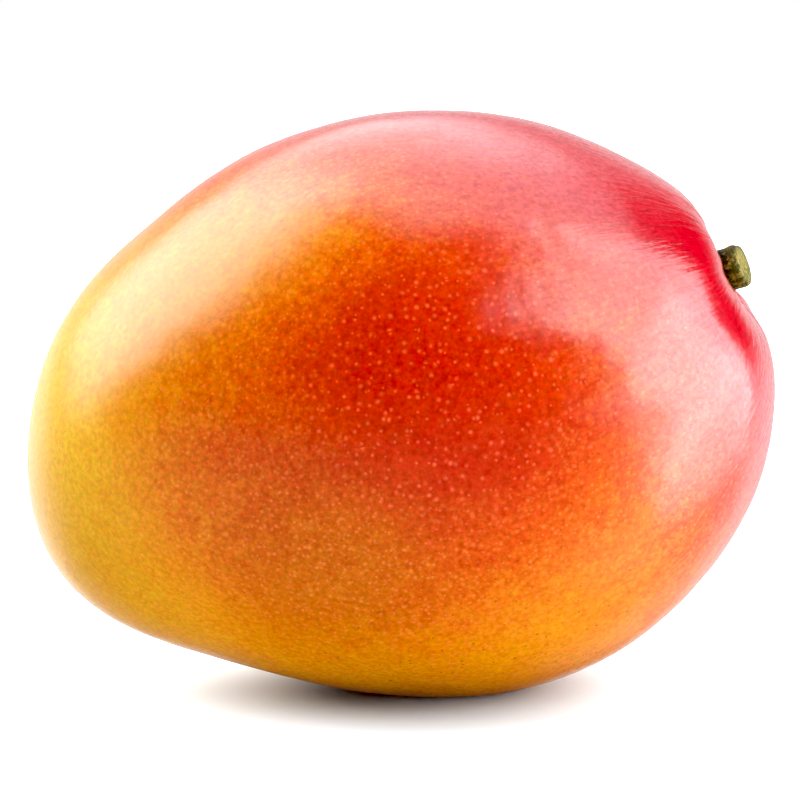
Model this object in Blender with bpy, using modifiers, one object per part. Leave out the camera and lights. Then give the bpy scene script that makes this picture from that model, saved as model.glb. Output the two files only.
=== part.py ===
"""A ripe mango lying on its side, with the short stub of stem that is left when it is picked.

Metres, +Z up. The stem end points to +X and slightly up, the two broad cheeks face -Y and +Y,
and the origin is in the flat spot that the fruit rests on, straight under its middle.
"""

import math

import bmesh
import bpy
from mathutils import Matrix, Vector

# The fruit's main form: an egg-shaped body, measured from its middle.
HALF_LENGTH = 0.0610
HALF_HEIGHT = 0.0458
HALF_THICKNESS = 0.0430
LONG_AXIS_RISE = 1.7
MIDDLE_HEIGHT = 0.0470
REST_BLEND = 0.0002

# Swellings and hollows of that body: the direction of the middle of each, as degrees round from
# +X towards +Z and degrees out towards +Y, its height as a share of the body's radius there,
# and its spread in degrees.
SWELLINGS = {
    "flatter back": (148.0, 0.0, -0.077, 32.0),
    "tip": (210.0, 0.0, 0.095, 21.8),
    "upper shoulder": (68.0, 0.0, 0.0135, 14.5),
    "belly": (291.5, 0.0, 0.069, 30.7),
    "resting side": (258.0, 0.0, 0.013, 9.0),
    "lower shoulder": (-1.0, 0.0, -0.055, 28.8),
    "near cheek's shoulder": (20.0, -26.0, 0.055, 20.0),
    "far cheek's shoulder": (20.0, 26.0, 0.055, 20.0),
    "stem pit": (23.0, 0.0, -0.062, 7.5),
}

# The saddle between the two shoulders, which is narrow lengthways and wide across the fruit.
SADDLE_AT = 21.0
SADDLE_DEPTH = 0.047
SADDLE_SPREAD = 9.0
SADDLE_SPREAD_ACROSS = 34.0

# Slow waves in the skin: the wave's direction and closeness, and its phase.
SKIN_WAVE_HEIGHT = 0.00012
SKIN_WAVES = (
    (Vector((7.0, 3.0, -5.0)), 0.6),
    (Vector((-4.0, 8.0, 6.0)), 2.1),
    (Vector((5.0, -6.0, 9.0)), 4.0),
)

# The fruit's mesh: lines run from the stem to the far tip, and rings lie closer near the stem.
LINES = 80
RINGS = 56
RING_CROWDING = 0.55

# The stub of stem. Its axis starts in the pit and leans towards the near cheek.
STEM_AT = 22.9
STEM_DIRECTION = Vector((0.92, -0.22, 0.32)).normalized()
STEM_ROOT_DEPTH = 0.0020
STEM_RADIUS = 0.0035
STEM_LENGTH = 0.0062
STEM_SIDES = 28
STEM_GAP = 0.0003


def side_direction(around, out=0.0):
    """The unit vector at these degrees round from +X towards +Z, and out towards +Y."""
    around, out = math.radians(around), math.radians(out)
    return Vector(
        (math.cos(around) * math.cos(out), math.sin(out), math.sin(around) * math.cos(out))
    )


def body_radius(direction):
    """The radius of the plain egg-shaped body in this direction."""
    rise = math.radians(LONG_AXIS_RISE)
    along = direction.x * math.cos(rise) + direction.z * math.sin(rise)
    up = direction.z * math.cos(rise) - direction.x * math.sin(rise)
    share = Vector((along / HALF_LENGTH, direction.y / HALF_THICKNESS, up / HALF_HEIGHT))
    return 1.0 / share.length


def swell(direction):
    """The share of the body's radius that the swellings and hollows add in this direction."""
    total = 0.0
    for around, out, height, spread in SWELLINGS.values():
        away = math.degrees(direction.angle(side_direction(around, out)))
        total += height * math.exp(-((away / spread) ** 2))
    around = math.degrees(math.atan2(direction.z, direction.x)) - SADDLE_AT
    around = (around + 180.0) % 360.0 - 180.0
    across = math.degrees(math.asin(max(-1.0, min(1.0, direction.y))))
    reach = (around / SADDLE_SPREAD) ** 2 + (across / SADDLE_SPREAD_ACROSS) ** 2
    return total - SADDLE_DEPTH * math.exp(-reach)


def skin_wave(direction):
    """How far the slow waves lift the skin in this direction."""
    waves = (math.sin(wave.dot(direction) + phase) for wave, phase in SKIN_WAVES)
    return SKIN_WAVE_HEIGHT * sum(waves)


def settle(height):
    """The height with everything below the table pressed flat, through a short smooth bend."""
    if height <= -REST_BLEND:
        return 0.0
    if height >= REST_BLEND:
        return height
    return (height + REST_BLEND) ** 2 / (4 * REST_BLEND)


def skin_point(direction):
    """The point of the fruit's skin in this direction from its middle."""
    radius = body_radius(direction) * (1 + swell(direction)) + skin_wave(direction)
    x, y, z = radius * direction
    return Vector((x, y, settle(z + MIDDLE_HEIGHT)))


def crowd(angle):
    """Moves a ring's angle from the stem, so that rings lie closer together round the stem."""
    return angle - RING_CROWDING * math.sin(angle) * (1 + math.cos(angle)) / 2


def link(name, mesh, collection, material=None):
    """A new object of this mesh in the collection."""
    made = bpy.data.objects.new(name, mesh)
    collection.objects.link(made)
    if material is not None:
        mesh.materials.clear()
        mesh.materials.append(material)
    return made


def make_fruit(collection, material):
    """The fruit: a sphere whose poles are the stem and the tip, with each point put on the skin."""
    mesh = bpy.data.meshes.new("fruit")
    made = bmesh.new()
    bmesh.ops.create_uvsphere(made, u_segments=LINES, v_segments=RINGS, radius=1.0)
    to_stem = Vector((0, 0, 1)).rotation_difference(side_direction(STEM_AT))
    for vertex in made.verts:
        flat = math.hypot(vertex.co.x, vertex.co.y)
        line = math.atan2(vertex.co.y, vertex.co.x)
        angle = crowd(math.atan2(flat, vertex.co.z))
        unit = Vector(
            (math.sin(angle) * math.cos(line), math.sin(angle) * math.sin(line), math.cos(angle))
        )
        vertex.co = skin_point(to_stem @ unit)
    made.to_mesh(mesh)
    made.free()
    mesh.shade_smooth()
    return link("fruit", mesh, collection, material)


def make_clearance(fruit, collection):
    """A hidden copy of the fruit, grown by the gap, which shapes the stem's foot."""
    mesh = fruit.data.copy()
    points = [vertex.co + vertex.normal * STEM_GAP for vertex in mesh.vertices]
    for vertex, point in zip(mesh.vertices, points, strict=True):
        vertex.co = point
    made = link("clearance", mesh, collection)
    made.hide_render = True
    made.display_type = "WIRE"
    return made


def stem_profile():
    """The stub's outline as (radius, height) points, from the middle of the cut face down."""
    r, top, root = STEM_RADIUS, STEM_LENGTH, -STEM_ROOT_DEPTH
    return (
        (0.0, top - 0.00035),
        (0.22 * r, top - 0.00030),
        (0.62 * r, top - 0.00008),
        (0.84 * r, top),
        (0.96 * r, top - 0.00035),
        (1.00 * r, top - 0.0011),
        (0.97 * r, 0.55 * top),
        (0.98 * r, 0.30 * top),
        (1.08 * r, 0.10 * top),
        (1.12 * r, 0.0),
        (1.12 * r, root),
        (0.0, root),
    )


def make_stem(clearance, helpers, collection, material):
    """The stub of stem: a turned outline, made a little uneven, with its foot cut to the pit."""
    outline = bpy.data.meshes.new("stem outline")
    points = [(radius, 0.0, height) for radius, height in stem_profile()]
    edges = [(n, n + 1) for n in range(len(points) - 1)]
    outline.from_pydata(points, edges, [])
    turned = link("turned stem", outline, helpers)
    screw = turned.modifiers.new("turn", "SCREW")
    screw.steps = screw.render_steps = STEM_SIDES
    screw.use_merge_vertices = True
    screw.merge_threshold = 0.00001
    graph = bpy.context.evaluated_depsgraph_get()
    mesh = bpy.data.meshes.new_from_object(turned.evaluated_get(graph))
    bpy.data.objects.remove(turned)

    for vertex in mesh.vertices:
        x, y, z = vertex.co
        around = math.atan2(y, x)
        lobes = 0.035 * math.cos(3 * around + 0.7) + 0.02 * math.cos(5 * around + 2.0)
        slant = 0.07 * x + 0.04 * y if z > 0.5 * STEM_LENGTH else 0.0
        vertex.co = Vector((x * (1 + lobes), y * (1 + lobes), z + slant))

    foot = skin_point(side_direction(STEM_AT))
    turn = Vector((0, 0, 1)).rotation_difference(STEM_DIRECTION)
    mesh.transform(Matrix.Translation(foot) @ turn.to_matrix().to_4x4())
    mesh.shade_smooth()
    stem = link("stem", mesh, collection, material)
    cut = stem.modifiers.new("foot", "BOOLEAN")
    cut.operation = "DIFFERENCE"
    cut.solver = "EXACT"
    cut.object = clearance
    return stem


def skin_material():
    material = bpy.data.materials.new("mango skin")
    material.use_nodes = True
    finish = material.node_tree.nodes["Principled BSDF"].inputs
    finish["Base Color"].default_value = (0.80, 0.13, 0.01, 1.0)
    finish["Roughness"].default_value = 0.35
    finish["Metallic"].default_value = 0.0
    return material


def stem_material():
    material = bpy.data.materials.new("green stem")
    material.use_nodes = True
    finish = material.node_tree.nodes["Principled BSDF"].inputs
    finish["Base Color"].default_value = (0.16, 0.17, 0.04, 1.0)
    finish["Roughness"].default_value = 0.8
    finish["Metallic"].default_value = 0.0
    return material


def clear_scene():
    for old in list(bpy.data.objects):
        bpy.data.objects.remove(old)


def new_collection(name):
    made = bpy.data.collections.new(name)
    bpy.context.scene.collection.children.link(made)
    return made


def main():
    clear_scene()
    parts = new_collection("mango")
    helpers = new_collection("cutters")
    fruit = make_fruit(parts, skin_material())
    clearance = make_clearance(fruit, helpers)
    make_stem(clearance, helpers, parts, stem_material())


main()
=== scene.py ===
import math

import bmesh
import bpy
import numpy as np
from mathutils import Matrix, Vector, noise


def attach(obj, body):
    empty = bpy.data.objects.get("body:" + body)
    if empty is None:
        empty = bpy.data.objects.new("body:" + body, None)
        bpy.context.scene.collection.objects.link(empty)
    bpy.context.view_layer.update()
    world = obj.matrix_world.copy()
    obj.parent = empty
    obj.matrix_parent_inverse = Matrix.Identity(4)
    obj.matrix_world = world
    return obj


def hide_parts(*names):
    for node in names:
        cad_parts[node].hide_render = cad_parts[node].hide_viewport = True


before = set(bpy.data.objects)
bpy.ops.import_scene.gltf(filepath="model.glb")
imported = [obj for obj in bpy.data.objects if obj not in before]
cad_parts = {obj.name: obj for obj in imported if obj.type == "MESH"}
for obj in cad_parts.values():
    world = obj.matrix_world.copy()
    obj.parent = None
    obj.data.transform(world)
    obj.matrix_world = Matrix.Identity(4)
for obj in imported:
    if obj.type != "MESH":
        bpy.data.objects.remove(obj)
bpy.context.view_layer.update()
print("frame loaded")


# small helpers for meshes and node trees

def addNode(tree, kind, inputs=None, **settings):
    made = tree.nodes.new(kind)
    for name, value in settings.items():
        setattr(made, name, value)
    for key, value in (inputs or {}).items():
        if isinstance(value, bpy.types.NodeSocket):
            tree.links.new(value, made.inputs[key])
        else:
            made.inputs[key].default_value = value
    return made


def calc(tree, operation, *values):
    return addNode(tree, "ShaderNodeMath", dict(enumerate(values)), operation=operation).outputs[0]


def times(tree, product, *factors):
    for factor in factors:
        product = calc(tree, "MULTIPLY", product, factor)
    return product


def addTo(tree, total, value, amount):
    return calc(tree, "MULTIPLY_ADD", value, amount, total)


def calcVector(tree, operation, *values):
    made = addNode(tree, "ShaderNodeVectorMath", dict(enumerate(values)), operation=operation)
    return made.outputs["Value" if operation in ("DISTANCE", "DOT_PRODUCT", "LENGTH") else "Vector"]


def parted(tree, vector):
    return addNode(tree, "ShaderNodeSeparateXYZ", {0: vector}).outputs


def blend(tree, factor, first, second, mode="MIX"):
    inputs = {0: factor, 6: first, 7: second}
    return addNode(tree, "ShaderNodeMix", inputs, data_type="RGBA", blend_type=mode).outputs[2]


def fade(tree, value, low, high, toLow=0.0, toHigh=1.0):
    inputs = {"Value": value, "From Min": low, "From Max": high, "To Min": toLow, "To Max": toHigh}
    return addNode(tree, "ShaderNodeMapRange", inputs, interpolation_type="SMOOTHSTEP").outputs[0]


def cloud(tree, vector, scale, detail, rough):
    inputs = {"Vector": vector, "Scale": scale, "Detail": detail, "Roughness": rough}
    return addNode(tree, "ShaderNodeTexNoise", inputs).outputs["Fac"]


def readAttribute(tree, name):
    return addNode(tree, "ShaderNodeAttribute", attribute_name=name).outputs["Vector"]


def newGroup(name, inputs, outputs):
    group = bpy.data.node_groups.new(name, "ShaderNodeTree")
    for label, kind, value in inputs:
        socket = group.interface.new_socket(label, in_out="INPUT", socket_type=kind)
        if value is not None:
            socket.default_value = value
    for label, kind in outputs:
        group.interface.new_socket(label, in_out="OUTPUT", socket_type=kind)
    return group, group.nodes.new("NodeGroupInput").outputs, group.nodes.new("NodeGroupOutput").inputs


def useGroup(tree, group, **inputs):
    return addNode(tree, "ShaderNodeGroup", inputs, node_tree=group).outputs


def newMaterial(name):
    material = bpy.data.materials.new(name)
    material.use_nodes = True
    material.node_tree.nodes.clear()
    return material, material.node_tree


def finishMaterial(tree, inputs):
    finish = addNode(tree, "ShaderNodeBsdfPrincipled", inputs)
    output = addNode(tree, "ShaderNodeOutputMaterial")
    tree.links.new(finish.outputs[0], output.inputs["Surface"])


# the fruit's form: the same values and formula as the solid's

fruitShape = {
    "halfLength": 0.0610,
    "halfHeight": 0.0458,
    "halfThickness": 0.0430,
    "longAxisRise": 1.7,
    "middleHeight": 0.0470,
    "restBlend": 0.0002,
    # degrees round from +X towards +Z, degrees out towards +Y, height, spread in degrees
    "swellings": {
        "flatter back": (148.0, 0.0, -0.077, 32.0),
        "tip": (210.0, 0.0, 0.095, 21.8),
        "upper shoulder": (68.0, 0.0, 0.0135, 14.5),
        "belly": (291.5, 0.0, 0.069, 30.7),
        "resting side": (258.0, 0.0, 0.013, 9.0),
        "lower shoulder": (-1.0, 0.0, -0.055, 28.8),
        "near cheek's shoulder": (20.0, -26.0, 0.055, 20.0),
        "far cheek's shoulder": (20.0, 26.0, 0.055, 20.0),
        "stem pit": (23.0, 0.0, -0.062, 7.5),
    },
    "saddle": {"at": 21.0, "depth": 0.047, "spread": 9.0, "spreadAcross": 34.0},
    "waveHeight": 0.00012,
    "waves": (((7.0, 3.0, -5.0), 0.6), ((-4.0, 8.0, 6.0), 2.1), ((5.0, -6.0, 9.0), 4.0)),
    # only the finer mesh here has these: shallow dents, as height and closeness, and faint folds
    # that run out of the pit, as height, the degrees from the stem where they are highest, and
    # their spread. Both fade out over the lowest millimetres.
    "dents": ((0.00007, 130.0), (0.00003, 320.0)),
    "folds": (0.00010, 9.0, 7.0),
    "plainBelow": 0.003,
    "lines": 320,
    "rings": 240,
    "ringCrowding": 0.55,
    "stemAt": 22.9,
}


def sideWay(around, out=0.0):  # degrees round from +X towards +Z, degrees out towards +Y
    around, out = math.radians(around), math.radians(out)
    return np.array((math.cos(around) * math.cos(out), math.sin(out), math.sin(around) * math.cos(out)))


def wayTo(around, up):  # degrees right of the camera's side, degrees up
    around, up = math.radians(around), math.radians(up)
    return Vector((math.sin(around) * math.cos(up), -math.cos(around) * math.cos(up), math.sin(up)))


def fruitRadius(ways):
    rise = math.radians(fruitShape["longAxisRise"])
    along = ways[:, 0] * math.cos(rise) + ways[:, 2] * math.sin(rise)
    up = ways[:, 2] * math.cos(rise) - ways[:, 0] * math.sin(rise)
    body = 1 / np.sqrt(
        (along / fruitShape["halfLength"]) ** 2
        + (ways[:, 1] / fruitShape["halfThickness"]) ** 2
        + (up / fruitShape["halfHeight"]) ** 2
    )
    swell = np.zeros(len(ways))
    for around, out, height, spread in fruitShape["swellings"].values():
        away = np.degrees(np.arccos(np.clip(ways @ sideWay(around, out), -1, 1)))
        swell += height * np.exp(-((away / spread) ** 2))
    saddle = fruitShape["saddle"]
    around = (np.degrees(np.arctan2(ways[:, 2], ways[:, 0])) - saddle["at"] + 180) % 360 - 180
    across = np.degrees(np.arcsin(np.clip(ways[:, 1], -1, 1)))
    reach = (around / saddle["spread"]) ** 2 + (across / saddle["spreadAcross"]) ** 2
    swell -= saddle["depth"] * np.exp(-reach)
    wave = sum(np.sin(ways @ np.array(way) + phase) for way, phase in fruitShape["waves"])
    return body * (1 + swell) + fruitShape["waveHeight"] * wave


def settle(height):
    bend = fruitShape["restBlend"]
    soft = (np.clip(height, -bend, bend) + bend) ** 2 / (4 * bend)
    return np.where(height > bend, height, soft)


def fruitSkin(ways, extra=0.0):
    points = ways * (fruitRadius(ways) + extra)[:, None]
    points[:, 2] = settle(points[:, 2] + fruitShape["middleHeight"])
    return points


def addAttribute(mesh, name, values):
    attribute = mesh.attributes.new(name, "FLOAT_VECTOR", "POINT")
    attribute.data.foreach_set("vector", np.ascontiguousarray(values, np.float32).ravel())


def makeFruit():
    made = bmesh.new()
    bmesh.ops.create_uvsphere(
        made, u_segments=fruitShape["lines"], v_segments=fruitShape["rings"], radius=1.0
    )
    mesh = bpy.data.meshes.new("fruit skin")
    made.to_mesh(mesh)
    made.free()
    ball = np.empty(len(mesh.vertices) * 3, np.float32)
    mesh.vertices.foreach_get("co", ball)
    ball = ball.reshape(-1, 3).astype(float)

    # rings crowd round the stem, where the pit's rim is sharpest
    line = np.arctan2(ball[:, 1], ball[:, 0])
    angle = np.arctan2(np.hypot(ball[:, 0], ball[:, 1]), ball[:, 2])
    angle -= fruitShape["ringCrowding"] * np.sin(angle) * (1 + np.cos(angle)) / 2
    unit = np.stack([np.sin(angle) * np.cos(line), np.sin(angle) * np.sin(line), np.cos(angle)], 1)
    toStem = Vector((0, 0, 1)).rotation_difference(Vector(sideWay(fruitShape["stemAt"])))
    ways = unit @ np.array(toStem.to_matrix()).T

    rough = np.zeros(len(ways))
    points = fruitSkin(ways)
    for height, closeness in fruitShape["dents"]:
        rough += height * np.array([noise.noise(Vector(point) * closeness) for point in points])
    height, highest, spread = fruitShape["folds"]
    fold = np.sin(9 * line + 0.6) + 0.6 * np.sin(14 * line + 2.0) + 0.4 * np.sin(23 * line)
    rough += height * fold * np.exp(-(((np.degrees(angle) - highest) / spread) ** 2))
    rough *= np.clip(points[:, 2] / fruitShape["plainBelow"], 0, 1)
    points = fruitSkin(ways, rough)
    mesh.vertices.foreach_set("co", np.ascontiguousarray(points, np.float32).ravel())

    # the way out from the middle, and round and along the fruit, for the material
    addAttribute(mesh, "way", ways)
    addAttribute(mesh, "grain", np.stack([np.cos(line), np.sin(line), angle], 1))
    mesh.update()
    mesh.shade_smooth()
    return mesh


# the stub of stem

stemShape = {
    "direction": Vector((0.92, -0.22, 0.32)).normalized(),
    "radius": 0.0035,
    "length": 0.0062,
    "sides": 110,
    "rows": 70,
    # radius as a share, and height as a share of the length, from the cut face's middle down
    "profile": (
        (0.0, 0.925), (0.14, 0.930), (0.24, 0.955), (0.45, 0.970), (0.66, 0.985), (0.84, 0.995),
        (0.94, 0.965), (1.00, 0.86), (0.99, 0.70), (0.965, 0.52), (0.985, 0.32), (1.05, 0.14),
        (1.11, 0.02), (1.12, -0.15), (1.10, -0.32),
    ),
    "ridges": 0.00013,
    "lumps": 0.00016,
    "tornFace": 0.00013,
}


def smoothProfile(points, steps):
    table = np.array(points)
    walk = np.concatenate([[0], np.cumsum(np.hypot(*np.diff(table, axis=0).T))])
    at = np.linspace(0, walk[-1], steps)
    fine = np.stack([np.interp(at, walk, table[:, 0]), np.interp(at, walk, table[:, 1])], 1)
    for _ in range(3):
        fine[1:-1] = (fine[:-2] + 2 * fine[1:-1] + fine[2:]) / 4
    return fine


def makeStem():
    radius, length = stemShape["radius"], stemShape["length"]
    made = bmesh.new()
    profile = smoothProfile(stemShape["profile"], stemShape["rows"])
    rows = [made.verts.new((share * radius, 0, high * length)) for share, high in profile]
    edges = [made.edges.new(pair) for pair in zip(rows, rows[1:])]
    bmesh.ops.spin(
        made, geom=rows + edges, cent=(0, 0, 0), axis=(0, 0, 1), angle=2 * math.pi,
        steps=stemShape["sides"], use_merge=True,
    )
    bmesh.ops.remove_doubles(made, verts=made.verts, dist=0.000002)
    foot = Vector(fruitSkin(sideWay(fruitShape["stemAt"])[None])[0])
    turn = Vector((0, 0, 1)).rotation_difference(stemShape["direction"]).to_matrix()
    places = []
    for vertex in made.verts:
        x, y, z = vertex.co
        places.append((x / radius, y / radius, z / length))
        away, around = math.hypot(x, y), math.atan2(y, x)
        share = min(1.0, away / radius)

        # the solid's uneven section, and on it the ridges and lumps
        ridge = noise.noise(Vector((2.6 * math.cos(around), 2.6 * math.sin(around), 120 * z)))
        lump = noise.noise(Vector((x, y, z)) * 420) + 0.5 * noise.noise(Vector((x, y, z)) * 1100)
        grow = 1 + 0.035 * math.cos(3 * around + 0.7) + 0.02 * math.cos(5 * around + 2.0)
        grow += (stemShape["ridges"] * ridge + stemShape["lumps"] * lump) / radius * share

        # the cut slants, and its face is torn
        high = z + (0.07 * x + 0.04 * y) * max(0.0, min(1.0, 2 * z / length - 1))
        if z > 0.9 * length:
            high += stemShape["tornFace"] * noise.noise(Vector((x, y, 0.3)) * 1500) * (1 - share ** 6)
        vertex.co = Vector((x * grow, y * grow, high))
    mesh = bpy.data.meshes.new("cut stem")
    made.to_mesh(mesh)
    made.free()
    addAttribute(mesh, "stemPlace", places)
    mesh.transform(Matrix.Translation(foot) @ turn.to_4x4())
    mesh.shade_smooth()
    return mesh


# effects that the skin and the room use several times

def makePatchGroup():
    group, given, out = newGroup(
        "patch of blush",
        [
            ("Way", "NodeSocketVector", None),
            ("Centre", "NodeSocketVector", None),
            ("Spread", "NodeSocketFloat", 40.0),
            ("Edge", "NodeSocketFloat", 2.0),
        ],
        [("Mask", "NodeSocketFloat")],
    )
    way = calcVector(group, "NORMALIZE", given["Way"])
    along = calcVector(group, "DOT_PRODUCT", way, given["Centre"])
    away = times(group, calc(group, "ARCCOSINE", along), math.degrees(1))
    reach = calc(group, "POWER", calc(group, "DIVIDE", away, given["Spread"]), given["Edge"])
    group.links.new(calc(group, "EXPONENT", times(group, reach, -1.0)), out["Mask"])
    return group


def makeDotGroup():
    group, given, out = newGroup(
        "dots in the skin",
        [
            ("Place", "NodeSocketVector", None),
            ("Upright", "NodeSocketVector", None),
            ("Closeness", "NodeSocketFloat", 500.0),
            ("Radius", "NodeSocketFloat", 0.0004),
            ("Share", "NodeSocketFloat", 0.9),
            ("Core", "NodeSocketFloat", 0.2),
        ],
        [("Mask", "NodeSocketFloat")],
    )
    cells = addNode(
        group, "ShaderNodeTexVoronoi",
        {"Vector": given["Place"], "Scale": given["Closeness"], "Randomness": 0.9}, feature="F1",
    ).outputs

    # how far each point lies from its cell's middle, measured along the skin
    offset = calcVector(group, "SUBTRACT", cells["Position"], given["Place"])
    depth = calc(group, "ABSOLUTE", calcVector(group, "DOT_PRODUCT", offset, given["Upright"]))
    far = calcVector(group, "LENGTH", offset)
    flat = calc(group, "SUBTRACT", calc(group, "POWER", far, 2.0), calc(group, "POWER", depth, 2.0))
    away = calc(group, "SQRT", calc(group, "MAXIMUM", flat, 0.0))

    # dots differ in size and strength, and cells far above or below the skin have none
    chance = addNode(group, "ShaderNodeSeparateColor", {0: cells["Color"]}).outputs
    kept = calc(group, "LESS_THAN", chance[0], given["Share"])
    near = calc(group, "LESS_THAN", times(group, depth, given["Closeness"]), 0.40)
    radius = times(group, given["Radius"], calc(group, "MULTIPLY_ADD", chance[1], 0.7, 0.65))
    mask = fade(group, away, radius, times(group, radius, given["Core"]))
    strength = calc(group, "MULTIPLY_ADD", chance[2], 0.5, 0.5)
    group.links.new(times(group, mask, kept, near, strength), out["Mask"])
    return group


patchOfBlush = makePatchGroup()
dotsOfSkin = makeDotGroup()

skinLook = {
    # how red the skin is: degrees right of the camera's side, degrees up, strength, spread, edge
    "paleBase": 0.09,
    "blush": {
        "stem end": (93.0, 20.0, 1.40, 38.6, 1.85),
        "near cheek": (4.0, 12.0, 0.35, 28.7, 3.65),
        "back": (150.0, 50.0, 1.30, 60.0, 2.94),
        "under the near cheek": (-5.0, -6.0, 0.25, 43.0, 5.0),
        "above the near cheek": (20.0, 50.0, 0.19, 20.0, 2.0),
        "towards the tip": (-42.0, -4.0, 0.08, 16.0, 2.0),
        "right of the near cheek": (36.0, 0.0, 0.06, 15.0, 2.5),
        "left shoulder": (-62.0, 27.0, 0.035, 22.0, 2.0),
        "pale tip": (-92.0, -5.0, -0.15, 33.0, 2.0),
    },
    # closeness and height of the blotches, the mottling and the stipple in the blush
    "uneven": ((60.0, 0.22), (330.0, 0.26), (1100.0, 0.30)),
    # the skin's own colours from unripe yellow to full red, as linear red, green, blue
    "ripening": (
        (0.00, (0.710, 0.410, 0.016)),
        (0.10, (0.690, 0.258, 0.009)),
        (0.25, (0.630, 0.140, 0.008)),
        (0.40, (0.560, 0.071, 0.006)),
        (0.58, (0.480, 0.031, 0.004)),
        (0.78, (0.430, 0.013, 0.003)),
        (1.00, (0.380, 0.002, 0.011)),
    ),
    # painted shade: a darker ochre laid low on the tip and under the near cheek, where less light falls
    "ochre": (0.34, 0.120, 0.003, 1.0),
    "dot": (0.88, 0.155, 0.055, 1.0),
    "yellowDot": (0.82, 0.25, 0.045, 1.0),
    "speck": (0.10, 0.030, 0.006, 1.0),
    "pitOrange": (0.62, 0.13, 0.012, 1.0),
    # where the other effects lie: degrees right of the camera's side, degrees up, spread, edge
    "zones": {
        "streaks": (100.0, 42.0, 68.0, 4.0),
        "combed relief": (92.0, 28.0, 42.0, 4.0),
        "waxy shine": (88.0, 30.0, 92.0, 4.0),
        "dark specks": (40.0, -55.0, 44.0, 4.0),
        "painted shade below the tip": (-76.0, -24.0, 20.0, 3.0),
        "painted shade below the cheek": (-18.0, -30.0, 22.0, 3.0),
    },
    "pitRing": (6.0, 6.0),
    # closeness, radius, share of the places that have one, share of the radius at full strength
    "largeDots": (600.0, 0.00046, 1.0, 0.0),
    "smallDots": (900.0, 0.00040, 1.0, 0.0),
    "darkSpecks": (620.0, 0.00022, 0.16, 0.4),
    # closeness round and along the fruit
    "wideStreaks": (24.0, 24.0, 9.0),
    "fineStreaks": (70.0, 70.0, 16.0),
    "grainCloseness": 1250.0,
    "poreCloseness": 460.0,
    "reliefHeight": 0.000028,
}


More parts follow.
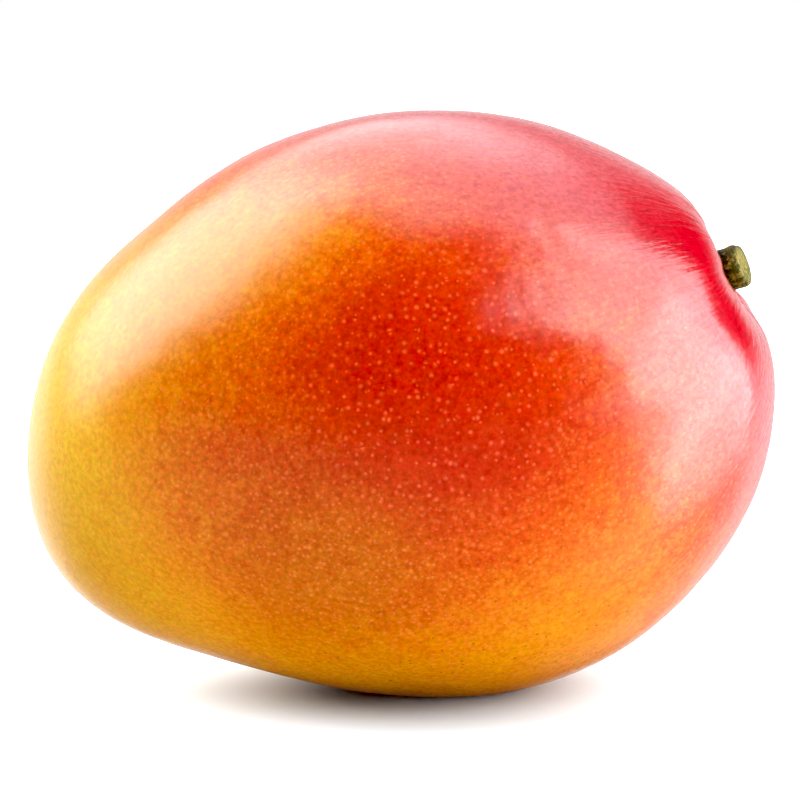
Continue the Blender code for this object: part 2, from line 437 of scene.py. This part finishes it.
def makeSkinMaterial():
    material, tree = newMaterial("mango skin, waxy")
    way = readAttribute(tree, "way")
    grain = readAttribute(tree, "grain")
    coordinates = addNode(tree, "ShaderNodeTexCoord").outputs
    place, upright = coordinates["Object"], coordinates["Normal"]

    def patch(centre, spread, edge):
        inputs = {"Way": way, "Centre": tuple(centre), "Spread": spread, "Edge": edge}
        return useGroup(tree, patchOfBlush, **inputs)["Mask"]

    def zone(name):
        around, up, spread, edge = skinLook["zones"][name]
        return patch(wayTo(around, up), spread, edge)

    def dots(name):
        inputs = dict(zip(("Closeness", "Radius", "Share", "Core"), skinLook[name]))
        return useGroup(tree, dotsOfSkin, Place=place, Upright=upright, **inputs)["Mask"]

    def streaks(name):
        return cloud(tree, calcVector(tree, "MULTIPLY", grain, skinLook[name]), 1.0, 2.0, 0.6)

    # the blush, with uneven edges: slow blotches, mottling and a fine stipple, then streaks
    ripe = skinLook["paleBase"]
    for around, up, strength, spread, edge in skinLook["blush"].values():
        ripe = addTo(tree, ripe, patch(wayTo(around, up), spread, edge), strength)
    stemSide = zone("streaks")
    wideStreaks, fineStreaks = streaks("wideStreaks"), streaks("fineStreaks")
    calm = fade(tree, ripe, 0.02, 0.36, 0.35, 1.0)
    for closeness, height in skinLook["uneven"]:
        uneven = calc(tree, "SUBTRACT", cloud(tree, place, closeness, 2.0, 0.55), 0.5)
        ripe = addTo(tree, ripe, times(tree, uneven, calm), height)
    for lines in (wideStreaks, fineStreaks):
        combed = times(tree, calc(tree, "SUBTRACT", lines, 0.5), stemSide)
        ripe = addTo(tree, ripe, combed, 0.5)

    ramp = addNode(tree, "ShaderNodeValToRGB", {"Fac": ripe})
    stops = ramp.color_ramp.elements
    while len(stops) < len(skinLook["ripening"]):
        stops.new(1.0)
    for stop, (at, tone) in zip(stops, skinLook["ripening"]):
        stop.position = at
        stop.color = (*tone, 1.0)
    tone = ramp.outputs["Color"]
    # painted shade: the skin turns towards the darker ochre low on the tip and below the near cheek
    paintedShade = calc(tree, "ADD", zone("painted shade below the tip"), zone("painted shade below the cheek"))
    tone = blend(tree, times(tree, paintedShade, 0.38), tone, skinLook["ochre"])

    # pale breathing spots: larger on the red, finer and closer on the orange, and fainter where
    # the skin turns crimson and towards the stem
    onRed = fade(tree, ripe, 0.35, 0.58)
    onOrange = calc(tree, "SUBTRACT", 1.0, onRed)
    largeDots, smallDots = dots("largeDots"), dots("smallDots")
    strong = times(
        tree, largeDots, onRed,
        fade(tree, ripe, 0.66, 0.92, 0.58, 0.05), fade(tree, stemSide, 0.35, 0.95, 1.0, 0.30),
    )
    faint = times(tree, smallDots, onOrange, fade(tree, stemSide, 0.0, 1.0, 0.44, 0.20))
    everywhere = times(tree, smallDots, fade(tree, ripe, 0.66, 0.92, 0.10, 0.02))
    tone = blend(tree, strong, tone, skinLook["dot"])
    tone = blend(tree, faint, tone, skinLook["yellowDot"])
    tone = blend(tree, everywhere, tone, skinLook["dot"])

    # fine grain of light and dark, weaker on the yellow
    mottle = cloud(tree, place, skinLook["grainCloseness"], 2.0, 0.65)
    grey = fade(tree, mottle, 0.22, 0.78, 0.76, 1.24)
    grey = addNode(tree, "ShaderNodeCombineColor", {0: grey, 1: grey, 2: grey}).outputs[0]
    tone = blend(tree, fade(tree, ripe, 0.05, 0.45, 0.65, 1.0), tone, grey, "MULTIPLY")

    # dark specks low down towards the stem end, and a ring of orange round the stem
    specks = times(tree, dots("darkSpecks"), zone("dark specks"), 0.8)
    tone = blend(tree, specks, tone, skinLook["speck"])
    pit = times(tree, patch(sideWay(fruitShape["stemAt"]), *skinLook["pitRing"]), 0.8)
    tone = blend(tree, pit, tone, skinLook["pitOrange"])

    # relief: fine pores all over, and combed lines at the stem end
    relief = cloud(tree, place, skinLook["poreCloseness"], 1.0, 0.5)
    fineLines = times(tree, fineStreaks, stemSide)
    relief = addTo(tree, relief, fineLines, 0.5)
    relief = addTo(tree, relief, times(tree, wideStreaks, zone("combed relief")), 5.0)
    bump = {"Strength": 1.0, "Distance": skinLook["reliefHeight"], "Height": relief}

    # a clear waxy shine that weakens towards the tip and is streaky at the stem end
    waxy = zone("waxy shine")
    shine = calc(
        tree, "ADD", fade(tree, waxy, 0.0, 1.0, 0.22, 0.19), fade(tree, mottle, 0.3, 0.7, 0.0, 0.02)
    )
    wax = addTo(tree, addTo(tree, mottle, fineLines, 0.25), stemSide, -0.125)
    wax = fade(tree, wax, 0.34, 0.66, 0.12, 0.50)
    finishMaterial(tree, {
        "Base Color": tone,
        "Roughness": shine,
        "Normal": addNode(tree, "ShaderNodeBump", bump).outputs[0],
        "IOR": 1.58,
        "Subsurface Weight": 0.1,
        "Subsurface Radius": (1.0, 0.35, 0.12),
        "Subsurface Scale": 0.0012,
        "Coat Weight": times(tree, wax, waxy),
        "Coat Roughness": 0.14,
    })
    return material


stemLook = {
    "green": (0.050, 0.066, 0.006, 1.0),
    "lightGreen": (0.165, 0.170, 0.024, 1.0),
    "tan": (0.330, 0.220, 0.070, 1.0),
    "brown": (0.050, 0.024, 0.005, 1.0),
    # dark serves the fine dark flecks and the painted shade at the foot
    "dark": (0.010, 0.014, 0.004, 1.0),
    "fibre": (1.0, 1.0, 1.2),
    "reliefHeight": 0.00042,
}


def makeStemMaterial():
    material, tree = newMaterial("cut stem, green and corky")
    place = readAttribute(tree, "stemPlace")
    x, y, high = parted(tree, place)
    away = calcVector(tree, "LENGTH", addNode(tree, "ShaderNodeCombineXYZ", {0: x, 1: y}).outputs[0])
    fibre = calcVector(tree, "MULTIPLY", place, stemLook["fibre"])
    patchy = cloud(tree, fibre, 3.0, 2.0, 0.6)
    grainy = cloud(tree, fibre, 6.0, 3.0, 0.65)
    fine = cloud(tree, fibre, 15.0, 2.0, 0.6)
    tone = blend(tree, fade(tree, patchy, 0.42, 0.56), stemLook["green"], stemLook["lightGreen"])
    tone = blend(tree, fade(tree, grainy, 0.56, 0.63), tone, stemLook["tan"])
    tone = blend(tree, fade(tree, grainy, 0.42, 0.35), tone, stemLook["brown"])
    tone = blend(tree, times(tree, fade(tree, fine, 0.55, 0.68), 0.7), tone, stemLook["dark"])

    # painted shade: the foot is dark green in the pit; the cut face dries to tan with a brown, ragged
    # rim
    foot = fade(tree, addTo(tree, high, patchy, 0.5), 1.02, 0.76)
    tone = blend(tree, foot, tone, stemLook["dark"])
    face = times(tree, fade(tree, high, 0.88, 0.93), fade(tree, away, 1.0, 0.86), 0.4)
    dry = blend(tree, fade(tree, patchy, 0.44, 0.56), stemLook["lightGreen"], stemLook["tan"])
    tone = blend(tree, face, tone, dry)
    ragged = addTo(tree, addTo(tree, away, grainy, 0.7), y, 0.2)
    rim = times(tree, fade(tree, high, 0.80, 0.90), fade(tree, ragged, 1.16, 1.28), 0.9)
    tone = blend(tree, rim, tone, stemLook["brown"])
    relief = addTo(tree, calc(tree, "ADD", grainy, patchy), fine, 0.4)
    bump = {"Strength": 1.0, "Distance": stemLook["reliefHeight"], "Height": relief}
    finishMaterial(tree, {
        "Base Color": tone,
        "Roughness": fade(tree, grainy, 0.3, 0.7, 0.55, 0.8),
        "Specular IOR Level": 0.3,
        "Normal": addNode(tree, "ShaderNodeBump", bump).outputs[0],
    })
    return material


def addPiece(name, mesh, material, node):
    piece = bpy.data.objects.new(name, mesh)
    bpy.context.scene.collection.objects.link(piece)
    mesh.materials.clear()
    mesh.materials.append(material)
    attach(piece, "root")
    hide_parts(node)


addPiece("fruit_skin", makeFruit(), makeSkinMaterial(), "fruit")
print("fruit made")
addPiece("cut_stem", makeStem(), makeStemMaterial(), "stem")
print("stem made")


# floor, light and camera

studio = {
    "floorRadius": 1.4,
    "floorDrop": 0.00005,
    "floorTone": (0.68, 0.84, 0.96, 1.0),
    "floorBounce": (0.61, 0.61, 0.61, 1.0),
    # light that lifts the shadow: its middle, its strength, and where it starts and is full; and
    # the stretch over which the floor turns to plain white
    "shadowMiddle": (0.003, 0, 0),
    "shadowFill": (0.59, 0.014, 0.046),
    "whiteFrom": (0.25, 0.9),
    # the painted shadow under the fruit that its skin mirrors, a dark patch: middle, colour, where it
    # fades out
    "contactMiddle": (-0.003, 0.003, 0),
    "paintedShadowTone": (0.10, 0.06, 0.05, 1.0),
    "contactEdge": (0.020, 0.034),
    # degrees right of the camera's side, degrees up, roll in degrees, distance, half width, half
    # height, brightness, softness of the sides, of the lower end and of the upper end
    "softboxes": {
        "right softbox": (79.4, 13.4, 26.7, 1.00, 0.67, 1.36, 4.65, 0.22, 0.52, 0.15),
        "left softbox": (-105.4, 37.1, -26.4, 1.00, 0.74, 0.80, 5.5, 0.75, 0.75, 0.75),
        "top softbox": (180.3, 68.3, 30.3, 1.00, 0.60, 1.02, 2.55, 0.58, 0.38, 0.45),
        "low right softbox": (72.0, 1.7, 38.8, 0.92, 0.69, 0.59, 2.9, 0.50, 0.50, 0.50),
    },
    # the room behind the fruit: its brightness, and the height where it starts and is full
    "backRoom": (0.93, -0.60, -0.42),
    # soft glows of the room, beside and below the table: degrees right of the camera's side,
    # degrees up, brightness, spread, edge. The flag darkens the room in the same way.
    "glows": {
        "right wall": (130.0, -18.0, 1.25, 22.0, 2.0),
        "low right wall": (138.0, -42.0, 0.35, 16.0, 2.5),
        "right corner": (86.0, -38.0, 0.9, 22.0, 3.0),
        "left wall": (-143.0, -20.0, 1.0, 24.0, 3.0),
        "high right wall": (160.0, 45.0, 0.5, 12.0, 3.0),
    },
    "flag": (129.0, 20.0, 1.0, 20.0, 5.0),
    "blackLevel": 0.018,
}


def makeFloor():
    mesh = bpy.data.meshes.new("floor")
    made = bmesh.new()
    bmesh.ops.create_circle(made, cap_ends=True, segments=96, radius=studio["floorRadius"])
    made.to_mesh(mesh)
    made.free()
    floor = bpy.data.objects.new("floor", mesh)
    floor.location.z = -studio["floorDrop"]
    bpy.context.scene.collection.objects.link(floor)
    material = bpy.data.materials.new("white table")
    material.use_nodes = True
    mesh.materials.append(material)
    tree = material.node_tree
    place = addNode(tree, "ShaderNodeTexCoord").outputs["Object"]
    away = calcVector(tree, "DISTANCE", place, studio["shadowMiddle"])
    ray = addNode(tree, "ShaderNodeLightPath").outputs
    table = tree.nodes["Principled BSDF"]
    seenTone = blend(tree, ray["Is Camera Ray"], studio["floorBounce"], studio["floorTone"])
    tree.links.new(seenTone, table.inputs["Base Color"])
    table.inputs["Roughness"].default_value = 0.6
    table.inputs["Emission Color"].default_value = (1.0, 1.0, 1.0, 1.0)
    strength, start, full = studio["shadowFill"]
    near = times(tree, fade(tree, away, start, full), strength)
    white = calc(tree, "ADD", near, fade(tree, away, *studio["whiteFrom"]))
    tree.links.new(white, table.inputs["Emission Strength"])

    # the skin mirrors only the painted shadow, a dark patch under the fruit, and past that the room
    # below the table
    away = calcVector(tree, "DISTANCE", place, studio["contactMiddle"])
    contact = fade(tree, away, *studio["contactEdge"])
    dark = addNode(tree, "ShaderNodeEmission", {"Color": studio["paintedShadowTone"]}).outputs[0]
    clear = addNode(tree, "ShaderNodeBsdfTransparent").outputs[0]
    mirrored = addNode(tree, "ShaderNodeMixShader", {0: contact, 1: dark, 2: clear}).outputs[0]
    shaders = {0: ray["Is Glossy Ray"], 1: table.outputs[0], 2: mirrored}
    whole = addNode(tree, "ShaderNodeMixShader", shaders).outputs[0]
    tree.links.new(whole, tree.nodes["Material Output"].inputs["Surface"])


def makeLights():
    middle = Vector((0, 0, fruitShape["middleHeight"]))
    for name, values in studio["softboxes"].items():
        around, up, roll, far, halfWide, halfHigh, brightness, *soft = values
        light = bpy.data.lights.new(name, "AREA")
        light.shape = "RECTANGLE"
        light.size = 2 * far * halfWide
        light.size_y = 2 * far * halfHigh
        light.energy = brightness * math.pi * light.size * light.size_y

        # the light fades out towards its edges
        light.use_nodes = True
        tree = light.node_tree
        spot = addNode(tree, "ShaderNodeNewGeometry").outputs["Parametric"]
        across, along = parted(tree, spot)[:2]
        sides, lowEnd, highEnd = (share / 2 for share in soft)
        edges = ((across, 0, sides), (across, 1, 1 - sides), (along, 0, lowEnd), (along, 1, 1 - highEnd))
        strength = times(tree, 1.0, *(fade(tree, share, edge, full) for share, edge, full in edges))
        tree.links.new(strength, tree.nodes["Emission"].inputs["Strength"])

        box = bpy.data.objects.new(name, light)
        way = wayTo(around, up)
        side = Vector((0, 0, 1)).cross(way).normalized()
        turn = Matrix((side, way.cross(side), way)).transposed()
        turn = turn @ Matrix.Rotation(math.radians(roll), 3, "Z")
        box.matrix_world = Matrix.Translation(middle + far * way) @ turn.to_4x4()
        box.visible_camera = False
        bpy.context.scene.collection.objects.link(box)


def makeWorld():
    world = bpy.data.worlds.new("white studio")
    bpy.context.scene.world = world
    world.use_nodes = True
    tree = world.node_tree
    tree.nodes.clear()
    way = addNode(tree, "ShaderNodeTexCoord").outputs["Generated"]
    y, high = parted(tree, way)[1:3]
    brightness, start, full = studio["backRoom"]
    behind = calc(tree, "POWER", calc(tree, "MAXIMUM", y, 0.0), 2.0)
    room = times(tree, behind, fade(tree, high, start, full), brightness)

    def glow(around, up, spread, edge):
        inputs = {"Way": way, "Centre": tuple(wayTo(around, up)), "Spread": spread, "Edge": edge}
        return useGroup(tree, patchOfBlush, **inputs)["Mask"]

    for around, up, brightness, spread, edge in studio["glows"].values():
        room = addTo(tree, room, glow(around, up, spread, edge), brightness)
    around, up, darkness, spread, edge = studio["flag"]
    room = times(tree, room, addTo(tree, 1.0, glow(around, up, spread, edge), -darkness))
    seen = addNode(tree, "ShaderNodeLightPath").outputs["Is Camera Ray"]
    strength = calc(tree, "MAXIMUM", room, seen)  # the camera sees plain white
    back = addNode(tree, "ShaderNodeBackground", {"Color": (1, 1, 1, 1), "Strength": strength})
    output = addNode(tree, "ShaderNodeOutputWorld")
    tree.links.new(back.outputs[0], output.inputs["Surface"])


cameraPlace = {
    "up": 10.0,
    "distance": 0.62,
    "frameWidth": 0.12783,
    # the middle of the fruit's outline, and how many pixels right of and below the picture's
    # middle it stands
    "aim": Vector((-0.00103, 0.0, 0.04581)),
    "shiftRight": 3.0,
    "shiftDown": 6.0,
    "pictureWidth": 800,
}


def makeCamera():
    camera = bpy.data.cameras.new("camera")
    camera.sensor_width = 36.0
    camera.lens = camera.sensor_width * cameraPlace["distance"] / cameraPlace["frameWidth"]
    camera.clip_start = 0.01
    camera.clip_end = 50.0
    eye = bpy.data.objects.new("camera", camera)
    bpy.context.scene.collection.objects.link(eye)
    back = wayTo(0.0, cameraPlace["up"])
    turn = back.to_track_quat("Z", "Y")
    pixel = cameraPlace["frameWidth"] / cameraPlace["pictureWidth"]
    shift = Vector((-cameraPlace["shiftRight"] * pixel, cameraPlace["shiftDown"] * pixel, 0))
    eye.location = cameraPlace["aim"] + turn @ shift + cameraPlace["distance"] * back
    eye.rotation_euler = turn.to_euler()
    bpy.context.scene.camera = eye


makeFloor()
makeLights()
makeWorld()
makeCamera()
view = bpy.context.scene.view_settings
view.view_transform = "Standard"
view.use_curve_mapping = True
view.curve_mapping.black_level = (studio["blackLevel"],) * 3
view.curve_mapping.update()
print("studio made")
